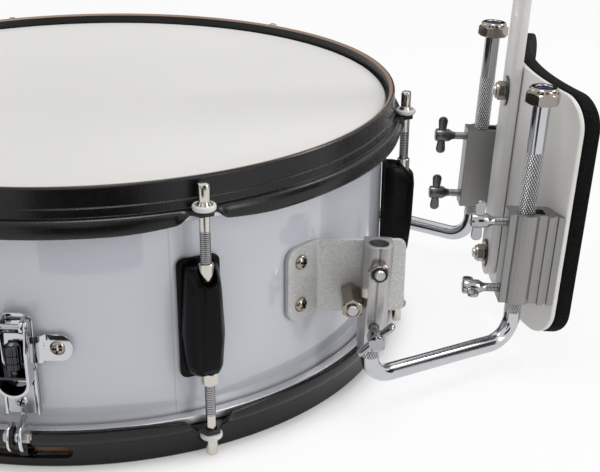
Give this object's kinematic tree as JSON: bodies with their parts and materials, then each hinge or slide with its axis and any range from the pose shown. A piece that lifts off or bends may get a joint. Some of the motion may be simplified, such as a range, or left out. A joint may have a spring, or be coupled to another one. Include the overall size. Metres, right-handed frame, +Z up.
{
  "type": "marching snare drum",
  "caption": "Marching snare drum on a shoulder carrier: white shell, black scalloped hoops, lugs, throw-off strainer, tilting bracket clamps, bent rods, belly plate and padded yoke.",
  "frame": {"origin": "centre of the batter head's playing surface", "axes": "+Z up out of the playing surface, +X towards the player who wears the carrier, +Y to the player's right"},
  "size_m": [0.6304, 0.4021, 0.5347],
  "materials": {
    "shell_wrap": "high gloss white wrap over a wood shell",
    "batter_film": "coated white drum film, finely grained",
    "snare_film": "clear hazy film",
    "hoop_black": "black satin powder coat",
    "lug_black": "satin black casting",
    "strainer_chrome": "polished chrome",
    "rod_nickel": "nickel-plated steel, rolled threads",
    "carrier_chrome": "polished chrome with a knurled band",
    "bracket_sparkle": "silver sparkle powder coat",
    "tube_satin": "satin anodised extrusion",
    "carrier_white": "off-white powder coat over aluminium",
    "foam_black": "closed-cell black foam",
    "tape_black": "woven black snare tape"
  },
  "bodies": {
    "drum": {"shell": "shell_wrap", "batter_head": "batter_film", "snare_head": "snare_film", "batter_hoop": "hoop_black", "snare_hoop": "hoop_black", "lug_1": "lug_black", "lug_2": "lug_black", "lug_3": "lug_black", "lug_4": "lug_black", "lug_5": "lug_black", "lug_6": "lug_black", "strainer_base": "strainer_chrome", "strainer_pin": "strainer_chrome", "snare_tape_throw": "tape_black", "snare_tape_butt": "tape_black", "snare_wires": "strainer_chrome", "butt_plate": "strainer_chrome", "butt_bar": "strainer_chrome", "bracket_left": "bracket_sparkle", "bracket_right": "bracket_sparkle", "pivot_bolt_left": "carrier_chrome", "pivot_bolt_right": "carrier_chrome"},
    "tubes": {"clamp_tube_left": "tube_satin", "clamp_tube_right": "tube_satin"},
    "stops": {"tilt_stop_left": "carrier_chrome", "tilt_stop_right": "carrier_chrome"},
    "rods": {"j_rod_left": "carrier_chrome", "j_rod_right": "carrier_chrome"},
    "carrier": {"spine": "carrier_white", "belly_plate": "carrier_white", "belly_pad": "foam_black", "rod_clamp_left": "tube_satin", "rod_clamp_right": "tube_satin"},
    "yoke": {"yoke_bar": "carrier_white", "shoulder_band_left": "carrier_white", "shoulder_band_right": "carrier_white", "shoulder_pad_left": "foam_black", "shoulder_pad_right": "foam_black"},
    "lever": {"strainer_lever": "strainer_chrome"},
    "knob": {"strainer_knob": "strainer_chrome"},
    "slide": {"strainer_slide": "strainer_chrome", "cord_clamp": "strainer_chrome"},
    "tube_screw_left": {"tube_screw_left": "carrier_chrome"},
    "clamp_screw_upper_left": {"clamp_screw_upper_left": "carrier_chrome"},
    "clamp_screw_lower_left": {"clamp_screw_lower_left": "carrier_chrome"},
    "tube_screw_right": {"tube_screw_right": "carrier_chrome"},
    "clamp_screw_upper_right": {"clamp_screw_upper_right": "carrier_chrome"},
    "clamp_screw_lower_right": {"clamp_screw_lower_right": "carrier_chrome"},
    "batter_rod_1": {"batter_rod_1": "rod_nickel"},
    "snare_rod_1": {"snare_rod_1": "rod_nickel"},
    "batter_rod_2": {"batter_rod_2": "rod_nickel"},
    "snare_rod_2": {"snare_rod_2": "rod_nickel"},
    "batter_rod_3": {"batter_rod_3": "rod_nickel"},
    "snare_rod_3": {"snare_rod_3": "rod_nickel"},
    "batter_rod_4": {"batter_rod_4": "rod_nickel"},
    "snare_rod_4": {"snare_rod_4": "rod_nickel"},
    "batter_rod_5": {"batter_rod_5": "rod_nickel"},
    "snare_rod_5": {"snare_rod_5": "rod_nickel"},
    "batter_rod_6": {"batter_rod_6": "rod_nickel"},
    "snare_rod_6": {"snare_rod_6": "rod_nickel"}
  },
  "joints": [
    {"name": "tilt", "type": "hinge", "parent": "drum", "child": "tubes", "pos_m": [0.16551, 0, -0.0573], "axis": [0, 1, 0], "range_deg": [-20, 0]},
    {"name": "tilt_stop_shift", "type": "hinge", "parent": "drum", "child": "stops", "pos_m": [0.16551, 0, -0.0573], "axis": [0, 1, 0], "range_deg": [-20, 0]},
    {"name": "rod_height", "type": "slide", "parent": "tubes", "child": "rods", "axis": [0.0454, 0, 0.999], "range_m": [-0.014, 0]},
    {"name": "belly_plate_height", "type": "slide", "parent": "rods", "child": "carrier", "axis": [0.0454, 0, 0.999], "range_m": [-0.01, 0.058]},
    {"name": "yoke_height", "type": "slide", "parent": "carrier", "child": "yoke", "axis": [0.0454, 0, 0.999], "range_m": [-0.03, 0.03]},
    {"name": "throw_lever", "type": "hinge", "parent": "drum", "child": "lever", "pos_m": [-0.01653, -0.18898, -0.0633], "axis": [-0.9962, 0.0872, 0], "range_deg": [0, 110]},
    {"name": "snare_tension_slide", "type": "slide", "parent": "drum", "child": "slide", "axis": [0, 0, 1], "range_m": [0, 0.006]},
    {"name": "strainer_knob_turn", "type": "hinge", "parent": "lever", "child": "knob", "pos_m": [-0.01669, -0.19077, -0.0783], "axis": [0, 0, 1], "continuous": true},
    {"name": "tube_screw_left_turn", "type": "hinge", "parent": "tubes", "child": "tube_screw_left", "pos_m": [0.16396, -0.145, -0.09126], "axis": [0, 1, 0], "continuous": true},
    {"name": "clamp_screw_upper_left_turn", "type": "hinge", "parent": "carrier", "child": "clamp_screw_upper_left", "pos_m": [0.23571, -0.078, -0.05448], "axis": [-0.999, 0, 0.0454], "continuous": true},
    {"name": "clamp_screw_lower_left_turn", "type": "hinge", "parent": "carrier", "child": "clamp_screw_lower_left", "pos_m": [0.23382, -0.078, -0.09594], "axis": [-0.999, 0, 0.0454], "continuous": true},
    {"name": "tube_screw_right_turn", "type": "hinge", "parent": "tubes", "child": "tube_screw_right", "pos_m": [0.16396, 0.145, -0.09126], "axis": [0, 1, 0], "continuous": true},
    {"name": "clamp_screw_upper_right_turn", "type": "hinge", "parent": "carrier", "child": "clamp_screw_upper_right", "pos_m": [0.23571, 0.078, -0.05448], "axis": [-0.999, 0, 0.0454], "continuous": true},
    {"name": "clamp_screw_lower_right_turn", "type": "hinge", "parent": "carrier", "child": "clamp_screw_lower_right", "pos_m": [0.23382, 0.078, -0.09594], "axis": [-0.999, 0, 0.0454], "continuous": true},
    {"name": "batter_rod_1_turn", "type": "hinge", "parent": "drum", "child": "batter_rod_1", "pos_m": [0.07769, -0.17449, -0.03], "axis": [0, 0, 1], "continuous": true},
    {"name": "snare_rod_1_turn", "type": "hinge", "parent": "drum", "child": "snare_rod_1", "pos_m": [0.07769, -0.17449, -0.1173], "axis": [0, 0, 1], "continuous": true},
    {"name": "batter_rod_2_turn", "type": "hinge", "parent": "drum", "child": "batter_rod_2", "pos_m": [0.18995, -0.01997, -0.03], "axis": [0, 0, 1], "continuous": true},
    {"name": "snare_rod_2_turn", "type": "hinge", "parent": "drum", "child": "snare_rod_2", "pos_m": [0.18995, -0.01997, -0.1173], "axis": [0, 0, 1], "continuous": true},
    {"name": "batter_rod_3_turn", "type": "hinge", "parent": "drum", "child": "batter_rod_3", "pos_m": [0.11227, 0.15452, -0.03], "axis": [0, 0, 1], "continuous": true},
    {"name": "snare_rod_3_turn", "type": "hinge", "parent": "drum", "child": "snare_rod_3", "pos_m": [0.11227, 0.15452, -0.1173], "axis": [0, 0, 1], "continuous": true},
    {"name": "batter_rod_4_turn", "type": "hinge", "parent": "drum", "child": "batter_rod_4", "pos_m": [-0.07769, 0.17449, -0.03], "axis": [0, 0, 1], "continuous": true},
    {"name": "snare_rod_4_turn", "type": "hinge", "parent": "drum", "child": "snare_rod_4", "pos_m": [-0.07769, 0.17449, -0.1173], "axis": [0, 0, 1], "continuous": true},
    {"name": "batter_rod_5_turn", "type": "hinge", "parent": "drum", "child": "batter_rod_5", "pos_m": [-0.18995, 0.01997, -0.03], "axis": [0, 0, 1], "continuous": true},
    {"name": "snare_rod_5_turn", "type": "hinge", "parent": "drum", "child": "snare_rod_5", "pos_m": [-0.18995, 0.01997, -0.1173], "axis": [0, 0, 1], "continuous": true},
    {"name": "batter_rod_6_turn", "type": "hinge", "parent": "drum", "child": "batter_rod_6", "pos_m": [-0.11227, -0.15452, -0.03], "axis": [0, 0, 1], "continuous": true},
    {"name": "snare_rod_6_turn", "type": "hinge", "parent": "drum", "child": "snare_rod_6", "pos_m": [-0.11227, -0.15452, -0.1173], "axis": [0, 0, 1], "continuous": true}
  ],
  "couplings": [
    {"joint": "tilt_stop_shift", "follows": "tilt", "ratio": 1},
    {"joint": "throw_lever", "follows": "snare_tension_slide", "rad_per_m": 320}
  ]
}
